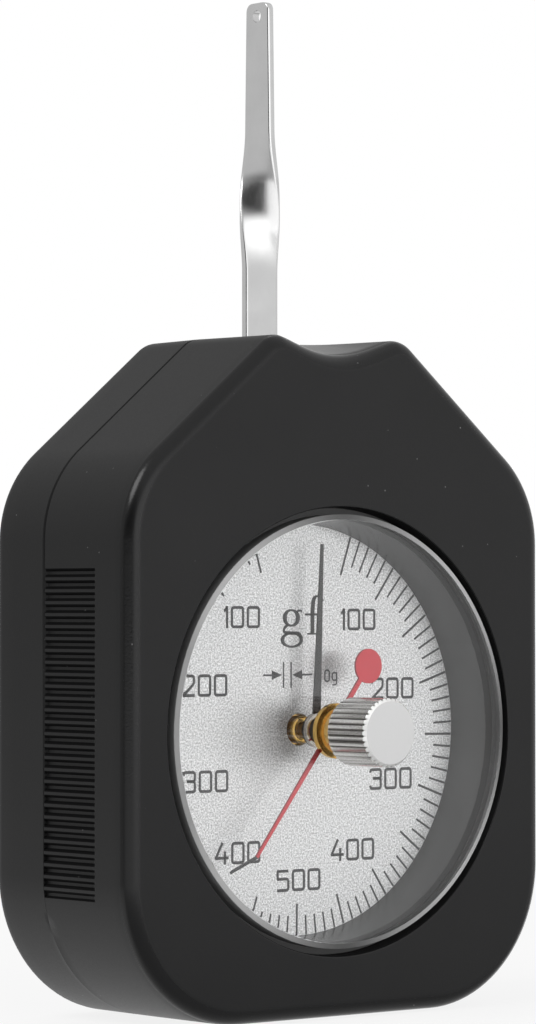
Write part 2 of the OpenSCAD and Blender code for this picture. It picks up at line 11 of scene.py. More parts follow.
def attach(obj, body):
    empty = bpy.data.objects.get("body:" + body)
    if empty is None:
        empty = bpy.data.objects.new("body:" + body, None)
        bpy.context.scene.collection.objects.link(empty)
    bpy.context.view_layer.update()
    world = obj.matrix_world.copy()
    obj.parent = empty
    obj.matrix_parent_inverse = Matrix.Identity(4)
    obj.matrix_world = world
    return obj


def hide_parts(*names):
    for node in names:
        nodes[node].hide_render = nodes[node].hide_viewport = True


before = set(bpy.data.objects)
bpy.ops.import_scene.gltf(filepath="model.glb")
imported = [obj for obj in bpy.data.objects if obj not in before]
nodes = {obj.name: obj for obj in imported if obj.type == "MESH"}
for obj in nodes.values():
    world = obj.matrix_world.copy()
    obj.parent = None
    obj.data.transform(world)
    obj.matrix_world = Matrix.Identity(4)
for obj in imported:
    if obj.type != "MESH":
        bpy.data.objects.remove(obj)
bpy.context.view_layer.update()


# Front half of the case: injection-moulded black plastic with a fine spark-eroded skin. The window, the dial
# well, the thumb scoop at the top and the finger grooves at the sides are all moulded in.
class Tap:
    """One output of a shader node. Arithmetic on taps adds Math nodes; node() adds any other node."""

    def __init__(self, tree, out=None):
        self.tree, self.out = tree, out

    def feed(self, socket, value):
        if isinstance(value, Tap):
            self.tree.links.new(value.out, socket)
        else:
            socket.default_value = value

    def node(self, kind, settings=None, out=0, **values):
        """A node of the given type: its settings first, then the values or links of its inputs. In an input's
        name _ stands for a space, and i with a number is the input of that number."""
        made = self.tree.nodes.new("ShaderNode" + kind)
        for key, value in (settings or {}).items():
            if key == "stops":
                ramp = made.color_ramp.elements
                while len(ramp) < len(value):
                    ramp.new(0.5)
                for stop, (at, colour) in zip(ramp, value):
                    stop.position, stop.color = at, (*colour, 1)
            else:
                setattr(made, key, value)
        for key, value in values.items():
            numbered = key[0] == "i" and key[1:].isdigit()
            self.feed(made.inputs[int(key[1:]) if numbered else key.replace("_", " ")], value)
        return Tap(self.tree, made.outputs[out])

    def math(self, kind, first, second=0.0):
        return self.node("Math", {"operation": kind}, i0=first, i1=second)

    def __add__(self, other): return self.math("ADD", self, other)
    def __radd__(self, other): return self.math("ADD", other, self)
    def __sub__(self, other): return self.math("SUBTRACT", self, other)
    def __rsub__(self, other): return self.math("SUBTRACT", other, self)
    def __mul__(self, other): return self.math("MULTIPLY", self, other)
    def __rmul__(self, other): return self.math("MULTIPLY", other, self)
    def __gt__(self, other): return self.math("GREATER_THAN", self, other)
    def __lt__(self, other): return self.math("LESS_THAN", self, other)

    def vector(self, kind, other=(0, 0, 0), out="Vector"):
        """Vector maths on this vector and, where the operation takes one, another."""
        return self.node("VectorMath", {"operation": kind}, out, i0=self, i1=other)

    def part(self, axis):
        """The X, Y or Z of a vector."""
        return self.node("SeparateXYZ", Vector=self, out=axis)

    def run(self, start, stop, first, last):
        """A straight run from first to last while the value goes from start to stop, and level beyond
        them."""
        return self.node("MapRange", Value=self, From_Min=start, From_Max=stop, To_Min=first, To_Max=last)

    def place(self):
        """Object coordinates, in metres, as a CAD node and every finished piece has them."""
        return self.node("TexCoord", out="Object")

    def grain(self, size, detail=2.0, stretch=(1, 1, 1), rough=0.5):
        """Noise between 0 and 1 whose features are about size mm, drawn out along an axis by stretch below
        1."""
        spread = self.node("Mapping", Vector=self.place(), Scale=tuple(1000 / size * k for k in stretch))
        return self.node("TexNoise", Vector=spread, Scale=1.0, Detail=detail, Roughness=rough)

    def blend(self, share, first, second):
        """The first colour where share is 0, the second where it is 1."""
        return self.node("Mix", {"data_type": "RGBA"}, out=2, i0=share, i6=first, i7=second)

    def bump(self, height, depth, strength=1.0):
        """A normal tilted by a height between 0 and 1 that stands for depth mm."""
        return self.node("Bump", Height=height, Distance=depth / 1000, Strength=strength)


def grey(level):
    """A colour without a hue."""
    return (level, level, level, 1)


def finish(name, wire, **constants):
    """A material: constants go on the shader's own sockets, and wire(tap) gives what changes over the
    surface."""
    material = bpy.data.materials.new(name)
    material.use_nodes = True
    tree = material.node_tree
    shader = tree.nodes["Principled BSDF"]
    for key, value in constants.items():
        shader.inputs[key.replace("_", " ")].default_value = value
    for key, tap in wire(Tap(tree)).items():
        tree.links.new(tap.out, shader.inputs[key.replace("_", " ")])
    return material


def skin(points, close_rows=False, close_cols=True):
    """Quads over rows x columns of points. They are turned round where the volume that they enclose, or their
    cone from the origin, comes out negative, so that closed shapes face outwards and flat print faces
    forward."""
    rows, cols = points.shape[:2]
    row, col = np.arange(rows - (not close_rows)), np.arange(cols - (not close_cols))
    r, c = np.meshgrid(row, col, indexing="ij")
    r2, c2 = (r + 1) % rows, (c + 1) % cols
    quads = np.stack([r * cols + c, r * cols + c2, r2 * cols + c2, r2 * cols + c], -1)
    flat = points.reshape(-1, 3)
    a, b, d, e = np.moveaxis(flat[quads], 2, 0)
    volume = (np.cross(a, b) * d).sum() + (np.cross(a, d) * e).sum()
    return flat, quads[..., ::-1] if volume < 0 else quads


def weld(mesh):
    """Merges points that lie together, at seams and poles, and drops the faces without area that this
    leaves."""
    work = bmesh.new()
    work.from_mesh(mesh)
    bmesh.ops.remove_doubles(work, verts=work.verts, dist=1e-6)
    bmesh.ops.dissolve_degenerate(work, edges=work.edges, dist=1e-7)
    work.to_mesh(mesh)
    work.free()


def piece(name, skins, material, body, stands_for=(), sharp=32, extra=(), rub=None):
    """One object from its skins, in metres, with its seams welded and edges under the sharp angle smooth."""
    points, faces, start = [], [], 0
    for flat, quads in skins:
        points.append(flat)
        faces += (quads.reshape(-1, quads.shape[-1]) + start).tolist()
        start += len(flat)
    mesh = bpy.data.meshes.new(name)
    mesh.from_pydata(np.concatenate(points) / 1000, [], faces + [tuple(f) for f in extra])
    if rub is not None:
        rubbed = mesh.attributes.new("rub", "FLOAT", "POINT")
        rubbed.data.foreach_set("value", rub.astype(np.float32).ravel())
    weld(mesh)
    mesh.shade_smooth()
    mesh.set_sharp_from_angle(angle=radians(sharp))
    mesh.materials.append(material)
    made = bpy.data.objects.new(name, mesh)
    bpy.context.scene.collection.objects.link(made)
    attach(made, body)
    if stands_for:
        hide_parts(*stands_for)
    return made


def face_middles(mesh):
    """The middle of each face in mm: its distance from the dial axis, and its y."""
    middles = np.zeros(3 * len(mesh.polygons))
    mesh.polygons.foreach_get("center", middles)
    x, y, z = middles.reshape(-1, 3).T * 1000
    return np.hypot(x, z - dial_axis[1]), y


dial_axis = np.array([0, 31.3])
half_width, case_top, front_y, wall, draft = 30, 74.7, -14.8, 2.0, 0.01
base_r, flank_r, shoulder_r = 15.85, 12.95, 3.6
slope = np.arctan2(16.6, 20.3)
flank_z = 58.1 - flank_r * np.tan((np.pi / 2 - slope) / 2)
scoop_half, scoop_depth = 9.7 - shoulder_r * np.tan(slope / 2), 2.1
slot_half = 6.07


def case_rings(y, inset, lean, sink):
    """Outlines of the case, one for each y: half the base, base corner, side, flank corner, slope, shoulder
    and half the top, then mirrored. Each is set in by inset all round and by lean everywhere but on the base,
    and its top sinks in the middle by sink times (1 - t squared) to the power 1.35, where t runs from -1 to 1
    across."""
    y, inset, lean, sink = (np.asarray(v, float)[:, None] for v in (y, inset, lean, sink))
    base = np.linspace(0, 1, 30)[None, :-1]
    corner = np.concatenate([np.linspace(-np.pi / 2, -0.17, 22), np.linspace(-0.165, 0, 34)])[None]
    side = dial_axis[1] + 0.08 * np.arange(-192, 229)[None]
    flank = np.linspace(0, np.pi / 2 - slope, 18)[None]
    shoulder = np.linspace(np.pi / 2 - slope, np.pi / 2, 10)[None]
    down = np.linspace(0, 1, 26)[None, 1:-1]
    slot_edge = slot_half / scoop_half
    t = np.unique(np.concatenate([np.linspace(0, 1, 25)[:-1], [slot_edge]]))[::-1][None]
    flank_x = half_width - flank_r + (flank_r - inset - lean) * np.cos(flank)
    flank_y = flank_z + (flank_r - inset - lean) * np.sin(flank)
    shoulder_x = scoop_half + (shoulder_r - inset - lean) * np.cos(shoulder)
    shoulder_y = case_top - shoulder_r + (shoulder_r - inset - lean) * np.sin(shoulder)
    x = np.concatenate([
        base * (half_width - base_r - lean),
        half_width - base_r - lean + (base_r - inset) * np.cos(corner),
        half_width - lean - inset + 0 * side,
        flank_x,
        flank_x[:, -1:] * (1 - down) + shoulder_x[:, :1] * down,
        shoulder_x,
        scoop_half * t + 0 * inset], 1)
    z = np.concatenate([
        inset + 0 * base,
        base_r + (base_r - inset) * np.sin(corner),
        side + 0 * inset,
        flank_y,
        flank_y[:, -1:] * (1 - down) + shoulder_y[:, :1] * down,
        shoulder_y,
        case_top - inset - lean - sink * (1 - t * t) ** 1.35], 1)
    half = np.stack([x, y + 0 * x, z], -1)
    return np.concatenate([half, (half * [-1, 1, 1])[:, -2:0:-1]], 1)


def window_rings(y, r, like):
    """Circles about the dial axis whose points lie in the directions of the points of an outline."""
    turn = np.arctan2(like[:, 0], like[:, 2] - dial_axis[1])
    r, y = np.asarray(r, float)[:, None], np.asarray(y, float)[:, None]
    return np.stack([r * np.sin(turn), y + 0 * turn, dial_axis[1] + r * np.cos(turn)], -1)


def slotted(rings, first, last):
    """The closed skin of a half, less the feeler's slot: from the first ring, outside, to the last, inside,
    the columns over the slot go, and the walls of the cut take their place."""
    flat, quads = skin(rings, close_rows=True)
    cols = rings.shape[1]
    gone = np.abs(rings[first, :, 0]) <= slot_half + 0.01
    gone &= rings[first, :, 2] > 60
    keep = np.ones(quads.shape[:2], bool)
    keep[first:last, gone & np.roll(gone, -1)] = False
    at = np.flatnonzero(gone)
    outside, inside = first * cols + at, last * cols + at
    face = np.stack([outside[:-1], outside[1:], inside[1:], inside[:-1]], -1)
    if (quads[0, 0, 1] - quads[0, 0, 0]) != 1:
        face = face[:, ::-1]
    ends = [[k * cols + c for k in range(first, last + 1)] for c in (at[0], at[-1])]
    return flat, np.concatenate([quads[keep], face]), ends


front_round, groove_front = 1.7, -9
turns = np.radians(np.linspace(90, 0, 9))
side_y = np.concatenate([[-12, -10.5, -9.2], np.linspace(groove_front, -8.1, 10), [-6, -4, -2, -1.25, -0.14]])
outer_y = np.concatenate([[front_y], front_y + front_round * (1 - np.sin(turns)), side_y])
outer_inset = np.concatenate([[front_round + 0.15], front_round * (1 - np.cos(turns)), 0 * side_y])
front_rings = case_rings(outer_y, outer_inset, -draft * outer_y, scoop_depth * outer_y / front_y)

# the finger grooves: flat floors between sloping flanks, which run out towards the front
groove_pitch, groove_half, groove_depth = 1.28, 0.46, 0.48
groove = (front_rings[..., 2] - dial_axis[1]) / groove_pitch
near = np.abs(groove - np.clip(np.floor(groove), -14, 13) - 0.5) * groove_pitch
depth = np.minimum(1.7 * (groove_half - near), 0.75 * (front_rings[..., 1] - groove_front))
depth = np.where(np.abs(front_rings[..., 0]) > 28, np.clip(depth, 0, groove_depth), 0)
groove_side = (depth > 0.02) & (depth < groove_depth - 0.04)
depth = np.maximum(depth - (half_width - np.abs(front_rings[..., 0]) + draft * front_rings[..., 1]), 0)
front_rings[..., 0] -= np.sign(front_rings[..., 0]) * depth

# the lip that meets the rear half: its open joint closes towards the base
joint_gap, joint_open, lip_cut = 0.005, 0.21, 0.3
lip_slot_y, seat_y = -1.25, -12.42
lip = case_rings([0, 0, lip_slot_y, seat_y], [lip_cut, wall, wall, wall], [0, 0.148, 0.148, 0.148],
    [0, 0, 0.18, scoop_depth])
outline = case_rings([0], [0], [0], [0])[0]
joint = np.clip((lip[0, :, 2] - 10) / 34, 0, 1)
front_rings[-1, :, 1] = -joint_gap - joint_open * joint
lip[0] += (outline - lip[0]) * (1 - joint[:, None])

# the well that the dial lies in, the seat of the crystal and the chamfer of the window
well_rings = window_rings(
    [seat_y, -6.2, -6.2, -6.25, -12.32, seat_y, seat_y, -14.6, -14.68, -14.74, -14.785, front_y, front_y],
    [25.4, 25.4, 22.8, 22.81, 23.36, 23.42, 24.6, 24.6, 24.62, 24.66, 24.7, 24.75, 24.9], front_rings[10])
front_all = np.concatenate([front_rings, lip, well_rings])
outer_count = len(front_rings)
front_flat, front_quads, front_ends = slotted(front_all, outer_count - 2, outer_count + 2)

# where hands rub it smooth (1), and the flanks of the grooves, which they don't reach (-1)
rub = np.zeros(front_all.shape[:2])
rub[2:9] = 1
scoop = np.clip(1.25 - np.abs(front_rings[10:, :, 0]) / 8, 0, 0.7) * (front_rings[10:, :, 2] > 71)
rub[10:outer_count] = np.maximum(rub[10:outer_count], scoop)
rub[:outer_count][groove_side & (depth > 0.005)] = -1
rub[outer_count + len(lip) + 8:-2] = 1


def moulded(tap):
    """Near-black with a slow cloud, a skin of fine dimples and a few specks of dust; more shine where hands
    rub the edges, and less in the grooves."""
    dimples = tap.grain(0.24, 2.0)
    cloud = tap.grain(14.0, 3.0)
    rubbed = tap.node("Attribute", {"attribute_name": "rub"}, out="Fac")
    cells = tap.node("Mapping", Vector=tap.place(), Scale=(450, 450, 450))
    speck = tap.node("TexVoronoi", Vector=cells, Scale=1.0, out="Distance")
    lot = tap.node("SeparateColor", Color=tap.node("TexVoronoi", Vector=cells, Scale=1.0, out="Color"))
    dust = (speck < 0.038) * (lot > 0.55)
    black = tap.blend(cloud, (0.004, 0.004, 0.0042, 1), (0.0068, 0.0068, 0.007, 1))
    return {
        "Base_Color": tap.blend(dust, black, grey(0.1)),
        "Roughness": 0.47 + dimples * 0.1 - rubbed * 0.31,
        "Normal": tap.bump(dimples, 0.012, 0.55)}


def smooth_wall(tap):
    """Near-black with a slow cloud, smooth enough to mirror the scale."""
    cloud = tap.grain(6.0, 3.0)
    return {
        "Base_Color": tap.blend(cloud, grey(0.005), grey(0.008)),
        "Roughness": 0.19 + cloud * 0.06}


case_black = finish("moulded_black", moulded, Specular_IOR_Level=0.24)
front_half = piece("front_half", [(front_flat, front_quads)], case_black, "case",
    ["front_case"], extra=front_ends, rub=rub)
front_half.data.materials.append(finish("well_black", smooth_wall, Specular_IOR_Level=0.5))
# painted shade: the flanks of the grooves get a copy of the black that hardly reflects
front_half.data.materials.append(finish("groove_shade_black", moulded, Specular_IOR_Level=0.04))
off_axis, along_y = face_middles(front_half.data)
in_well = (off_axis < 24.2) & (along_y < -6)
rubbed = np.zeros(len(front_half.data.vertices), np.float32)
corner = np.zeros(len(front_half.data.loops), np.int32)
start = np.zeros(len(front_half.data.polygons), np.int32)
front_half.data.attributes["rub"].data.foreach_get("value", rubbed)
front_half.data.loops.foreach_get("vertex_index", corner)
front_half.data.polygons.foreach_get("loop_start", start)
# the flanks of the grooves take the painted-shade material
shaded_flank = np.minimum.reduceat(rubbed[corner], start) < -0.5
front_half.data.polygons.foreach_set("material_index", np.where(shaded_flank, 2, in_well).astype(np.int32))


# Rear half of the case: the same moulded plastic, plain outside, with four counterbored holes for the screws.
# It meets the front half in a fine open joint.
def turned(profile, centre=dial_axis, count=144, closed=True):
    """A profile of radius and y carried round an axis along Y; a closed one comes back to its start."""
    profile = np.asarray(profile, float)
    turn = np.linspace(0, 2 * np.pi, count, endpoint=False)
    r, y = profile[:, :1], profile[:, 1:]
    points = np.stack([centre[0] + r * np.sin(turn), y + 0 * turn, centre[1] + r * np.cos(turn)], -1)
    return skin(points, closed)


rear_y, rear_round, rear_floor = 9.5, 1.9, 7.5
rear_turns = np.radians(np.linspace(0, 90, 9))
rear_outer_y = np.concatenate([
    [0.14, 0.65, 3, 5.5], rear_y - rear_round * (1 - np.sin(rear_turns)), [rear_y]])
rear_inset = np.concatenate([[0, 0, 0, 0], rear_round * (1 - np.cos(rear_turns)), [rear_round + 0.15]])
rear_rings = case_rings(rear_outer_y[::-1], rear_inset[::-1], draft * rear_outer_y[::-1], 0 * rear_outer_y)
rear_lip = case_rings([0, 0, 0.65, rear_floor], [lip_cut, wall, wall, wall], [0, 0.095, 0.095, 0.095],
    [0, 0, 0, 0])
rear_rings[-1, :, 1] = joint_gap + joint_open * joint
rear_lip[0] += (outline - rear_lip[0]) * (1 - joint[:, None])
rear_all = np.concatenate([rear_rings, rear_lip])
rear_flat, rear_quads, rear_ends = slotted(rear_all, len(rear_rings) - 2, len(rear_rings) + 2)
cols = rear_all.shape[1]
shell = rear_quads.reshape(-1, 4)
across_inside = (shell.max(1) >= (len(rear_all) - 1) * cols) & (shell.min(1) < cols)

# the four holes, and the flat back that is cut round them
hole_r, counterbore_r, screw_r, counterbore_y, screw_y = 2.75, 2.5, 1.25, 7.3, 6.5
hole_turn = np.linspace(0, 2 * np.pi, 48, endpoint=False)
loops, hole_walls = [rear_rings[0]], []
for x, z in ((21.5, 55), (-21.5, 55), (20.5, 10), (-20.5, 10)):
    loops.append(np.stack([x + hole_r * np.sin(hole_turn), 0 * hole_turn + rear_y,
        z + hole_r * np.cos(hole_turn)], -1))
    flat, quads = turned([[hole_r, rear_y], [counterbore_r, rear_y - 0.25], [counterbore_r, counterbore_y],
        [screw_r, counterbore_y], [screw_r, screw_y]], (x, z), 48, False)
    hole_walls.append((flat, quads[..., ::-1]))
back = np.concatenate(loops)
tris = np.array(geometry.tessellate_polygon([ring[:, ::2].tolist() for ring in loops]))
a, b, c = back[tris[:, 0]], back[tris[:, 1]], back[tris[:, 2]]
inward = np.cross(b - a, c - a)[:, 1] < 0
tris[inward] = tris[inward][:, ::-1]

# the floor inside, as a fan from its middle
floor_points = np.concatenate([rear_lip[-1], [[0, rear_floor, 35]]])
floor_fan = np.stack([np.full(cols, cols), np.arange(cols), (np.arange(cols) + 1) % cols], -1)
rear_skins = [(rear_flat, shell[~across_inside]), (back, tris), (floor_points, floor_fan)] + hole_walls
piece("rear_half", rear_skins, case_black, "case", ["rear_case"], extra=rear_ends,
    rub=np.zeros(sum(len(flat) for flat, _ in rear_skins)))


# Crystal: a clear acrylic disc with a bevelled rim left finely ground, bedded in the window on a black rubber
# ring. Light goes through it, so it throws no shadow on the dial.
def eased(path, cut, closed=True, count=5):
    """A path whose corners are rounded: within the length cut on either side, each corner follows the
    parabola that touches both of its legs. An open path keeps its ends."""
    path = np.asarray(path, float)
    cut = np.broadcast_to(np.asarray(cut, float), len(path))[:, None]
    before, after = np.roll(path, 1, 0) - path, np.roll(path, -1, 0) - path
    far, near = (np.linalg.norm(v, axis=1, keepdims=True) for v in (before, after))
    before = before / far * np.minimum(cut, 0.49 * far)
    after = after / near * np.minimum(cut, 0.49 * near)
    t = np.linspace(0, 1, count)[None, :, None]
    soft = path[:, None] + before[:, None] * (1 - t) ** 2 + after[:, None] * t ** 2
    if not closed:
        soft[0], soft[-1] = path[0], path[-1]
    soft = soft.reshape(-1, 2)
    return soft[np.linalg.norm(soft - np.roll(soft, 1, 0), axis=1) > 1e-9]


def dress(name, material):
    """Gives a CAD node its finish."""
    nodes[name].data.materials.clear()
    nodes[name].data.materials.append(material)


def from_axis(tap):
    """The way from the dial axis to the point, square to that axis, in metres."""
    return tap.place().vector("SUBTRACT", (0, 0, dial_axis[1] / 1000)).vector("MULTIPLY", (1, 0, 1))


def clear(tap):
    """Clear all over, with a faint bloom of fine wiping marks in the polish."""
    return {"Roughness": tap.grain(1.6, 4.0, (1, 1, 0.2)) * 0.012}


def rubbery(tap):
    """Black with a chalky mottle, duller where the mottle is pale."""
    mottle = tap.grain(0.5, 3.0)
    return {
        "Base_Color": tap.blend(mottle, grey(0.022), grey(0.034)),
        "Roughness": 0.55 + mottle * 0.25,
        "Normal": tap.bump(mottle, 0.01)}


def ground(tap):
    """Ground edge with fine marks along the rim, and a painted highlight that makes it paler on the diagonals
    and at the left: twice the product of the direction's X and Z is 1 on a diagonal and 0 on the axes."""
    marks = tap.grain(0.3, 3.0, (1, 0.2, 1))
    way = from_axis(tap).vector("NORMALIZE")
    diagonal = tap.math("POWER", tap.math("ABSOLUTE", way.part("X") * way.part("Z") * 2), 1.5)
    # painted highlight on the ground rim, strongest on the diagonals and at the left
    painted_glow = tap.math("MAXIMUM", diagonal, way.part("X").run(-0.3, -0.8, 0.0, 0.6))
    dull = tap.blend(marks, grey(0.035), grey(0.065))
    return {"Base_Color": tap.blend(painted_glow, dull, grey(0.27)), "Roughness": 0.35 + marks * 0.2}


crystal_r, crystal_front, crystal_back, crystal_hole, bevel_r = 23.8, -14.97, -12.77, 2.39, 23.15
crystal_profile = eased([
    [crystal_hole, crystal_front], [2.6, crystal_front], [22.9, crystal_front], [bevel_r, crystal_front],
    [crystal_r, -14.8], [crystal_r, crystal_back], [23.6, crystal_back], [2.6, crystal_back],
    [crystal_hole, crystal_back]], [0, 0, 0, 0.06, 0.05, 0.05, 0, 0, 0])
crystal_clear = finish("clear_acrylic", clear, Base_Color=(0.985, 0.99, 0.99, 1), Transmission_Weight=1.0,
    IOR=1.49, Specular_IOR_Level=0.1)
crystal = piece("crystal_disc", [turned(crystal_profile, count=240)], crystal_clear, "case",
    ["crystal"])
crystal.data.materials.append(finish("ground_acrylic", ground, Specular_IOR_Level=0.4))
off_axis, along_y = face_middles(crystal.data)
on_rim = (off_axis > 23.2) & (along_y < crystal_back - 0.05)
crystal.data.polygons.foreach_set("material_index", on_rim.astype(np.int32))
crystal.visible_shadow = False
dress("crystal_gasket", finish("rubber_ring", rubbery))


# Dial: a metal disc in a sprayed silver finish whose grain shows, printed in dark grey. The scale runs to 500
# on either side of zero at the top, with a line for every 10 and a longer one for every 50.
def sprayed(tap):
    """Pale grey broken up by a sandy grain: bright flakes and darker pits over a slow cloud."""
    sand = tap.grain(0.2, 2.0, rough=0.75)
    pits = tap.node("ValToRGB", {"stops": [(0.4, (0, 0, 0)), (0.6, (1, 1, 1))]}, Fac=sand)
    cloud = tap.grain(9.0, 2.0)
    pale = tap.blend(cloud, (0.8, 0.8, 0.805, 1), grey(0.87))
    return {
        "Base_Color": tap.blend(pits, (0.36, 0.36, 0.365, 1), pale),
        "Roughness": 0.42 + sand * 0.3,
        "Normal": tap.bump(sand, 0.03, 0.8)}


def inked(tap):
    """Dark grey screen ink, slightly uneven."""
    uneven = tap.grain(0.3, 2.0)
    return {
        "Base_Color": tap.blend(uneven, (0.016, 0.016, 0.017, 1), (0.03, 0.03, 0.031, 1)),
        "Roughness": 0.5 + uneven * 0.2}


dress("dial_plate", finish("sprayed_silver", sprayed, Metallic=0.25, Specular_IOR_Level=0.35))
print_y, print_turn, print_drop = -6.212, radians(0.96), np.array([0.0, -0.55])


def ribbon(path, half, closed=False):
    """A flat line on the dial along a path of x and z from the dial axis: at each point it reaches half a
    width to either side, square to the path."""
    path = np.asarray(path, float)
    run = np.roll(path, -1, 0) - np.roll(path, 1, 0)
    if not closed:
        run[0], run[-1] = path[1] - path[0], path[-1] - path[-2]
    run /= np.linalg.norm(run, axis=1, keepdims=True)
    reach = np.broadcast_to(half, len(path))[:, None] * np.stack([-run[:, 1], run[:, 0]], -1)
    both = np.stack([path + reach, path - reach]) + dial_axis
    return skin(np.stack([both[..., 0], np.full(both.shape[:2], print_y), both[..., 1]], -1), False, closed)


def pen(path, thin, thick, closed=False):
    """A ribbon drawn with a broad pen: thin where the path runs level and thick where it runs upright."""
    path = np.asarray(path, float)
    run = np.gradient(path, axis=0) if not closed else np.roll(path, -1, 0) - np.roll(path, 1, 0)
    upright = np.abs(run[:, 1]) / np.maximum(np.linalg.norm(run, axis=1), 1e-9)
    return ribbon(path, thin + (thick - thin) * upright ** 1.5, closed)


def oval(x, z, rx, rz, count=48):
    """An ellipse, counted anticlockwise from the right."""
    turn = np.radians(np.linspace(0, 360, count, endpoint=False))
    return np.stack([x + rx * np.cos(turn), z + rz * np.sin(turn)], -1)


# the scale: each line runs out to the edge of the dial, although the scale's centre lies below the dial's
prints = []
scale_edge, degrees_per_line = 22.76, 3.6
for k in range(5, 51):
    long_line = k % 5 == 0
    for side in ((1, -1) if k < 50 else (1,)):
        turn = side * radians(degrees_per_line * k) + print_turn
        aim = np.array([np.sin(turn), np.cos(turn)])
        dot = aim @ print_drop
        inner = 18.75 if long_line else 20.1
        outer = -dot + np.sqrt(dot * dot - print_drop @ print_drop + scale_edge ** 2)
        prints.append(ribbon(print_drop + np.outer([inner, outer], aim), 0.135 if long_line else 0.12))

# the numbers: for each digit its width, and its strokes as points, corner cuts and whether it closes, all as
# parts of the digit's height
left, right, low, high, bend = 0.061, 0.714, 0.061, 0.939, 0.13
digits = {
    "0": (0.775, [([[left, low], [right, low], [right, high], [left, high]], bend, True)]),
    "1": (0.27, [
        ([[0.02, 0.79], [0.12, 0.82], [0.21, 1.0]], 0.05, False),
        ([[0.21, 1.0], [0.21, 0]], 0, False)]),
    "2": (0.775, [
        ([[left, 0.72], [left, high], [right, high], [right, 0.58], [0.1, low], [right + 0.05, low]],
            [0, bend, bend, bend, 0.02, 0], False)]),
    "3": (0.775, [
        ([[left, 0.8], [left + 0.04, high], [right, high], [right, 0.53], [0.24, 0.53]],
            [0, 0.08, bend, bend, 0], False),
        ([[0.24, 0.53], [right, 0.53], [right, low], [left + 0.04, low], [left, 0.2]],
            [0, bend, bend, 0.08, 0], False)]),
    "4": (0.79, [
        ([[0.44, 1.0], [0.05, 0.3], [0.79, 0.3]], [0, 0.02, 0], False),
        ([[0.58, 0.6], [0.58, 0]], 0, False)]),
    "5": (0.775, [
        ([[right, high], [left + 0.02, high], [left + 0.02, 0.58], [right, 0.58], [right, low],
            [left - 0.02, low]], [0, 0.02, 0.02, bend, bend, 0], False)])}
labels = {
    "100": [(8.67, 12.2), (-8.23, 12.5)],
    "200": [(13.83, 4.41), (-13.49, 5.05)],
    "300": [(13.54, -5.81), (-13.35, -5.42)],
    "400": [(7.84, -13.62), (-8.8, -13.35)],
    "500": [(-0.1, -16.69)]}
digit_height, digit_gap, digit_stroke = 2.42, 0.16, 0.068
for text, spots in labels.items():
    span = sum(digits[d][0] for d in text) + digit_gap * (len(text) - 1)
    for x, z in spots:
        pen_x = x - span * digit_height / 2
        for d in text:
            width, strokes = digits[d]
            for path, cut, closed in strokes:
                line = eased(path, cut, closed, 7) * digit_height + [pen_x, z - digit_height / 2]
                prints.append(ribbon(line, digit_stroke * digit_height, closed))
            pen_x += (width + digit_gap) * digit_height

# the unit over the axis, in a book face: the bowl, ear, link and lower loop of the g, then the f
prints += [
    pen(oval(-1.12, 12.4, 0.95, 0.86), 0.11, 0.3, True),
    pen([[-0.35, 13.0], [-0.1, 13.2], [0.2, 13.22], [0.42, 13.1]], 0.1, 0.22),
    pen(eased([[-1.6, 11.68], [-2.25, 11.2], [-2.15, 10.75], [-1.3, 10.72], [0.05, 10.7], [0.45, 10.1]],
        0.45, False, 9), 0.19, 0.16),
    pen(oval(-1.05, 9.95, 1.36, 0.75), 0.12, 0.26, True),
    pen(eased([[1.95, 10.62], [1.95, 13.4], [2.15, 14.75], [3.05, 14.85], [3.4, 14.2]], 0.8, False, 9),
        0.11, 0.29),
    ribbon([[0.85, 12.78], [2.85, 12.78]], 0.12),
    ribbon([[1.2, 10.62], [2.75, 10.62]], 0.1)]

# the zone of zero: two upright lines with an arrow to each, and its weight
arrow_z = 6.08
for x in (-2.25, -1.16):
    prints.append(ribbon([[x, 4.63], [x, 7.5]], 0.105))
for tail, neck, tip in ((-5.17, -3.95, -2.5), (1.93, 0.45, -0.95)):
    prints.append(ribbon([[tail, arrow_z], [neck, arrow_z]], 0.1))
    prints.append(ribbon([[neck, arrow_z], [tip, arrow_z]], np.array([0.52, 0.02])))
prints += [
    ribbon(eased([[3.78, 5.3], [4.42, 5.3], [4.42, 6.55], [3.78, 6.55]], 0.3, True, 7), 0.1, True),
    ribbon(eased([[4.86, 5.4], [5.5, 5.4], [5.5, 6.25], [4.86, 6.25]], 0.3, True, 7), 0.095, True),
    ribbon(eased([[5.5, 6.3], [5.5, 4.9], [4.9, 4.9]], 0.3, False, 7), 0.095)]
dial_print = piece("dial_print", prints, finish("screen_ink", inked), "case")
ink = dial_print.modifiers.new("ink", "SOLIDIFY")
ink.thickness, ink.offset = 0.00001, -1


# Movement behind the dial, and the case's screws: brass plates, bushes, sector and collets, steel arbors,
# pillars and pins, blued screws and springs, black case screws. All are machined or pressed, and screwed or
# riveted together.
def brushed(pale, dark, along, rough):
    """A metal with fine drawn lines along one axis, slightly mottled."""
    def wire(tap):
        lines = tap.grain(0.12, 3.0, along)
        mottle = tap.grain(3.0, 2.0)
        return {
            "Base_Color": tap.blend(lines * 0.6 + mottle * 0.4, dark, pale),
            "Roughness": rough + lines * 0.18,
            "Normal": tap.bump(lines, 0.004, 0.5)}
    return wire


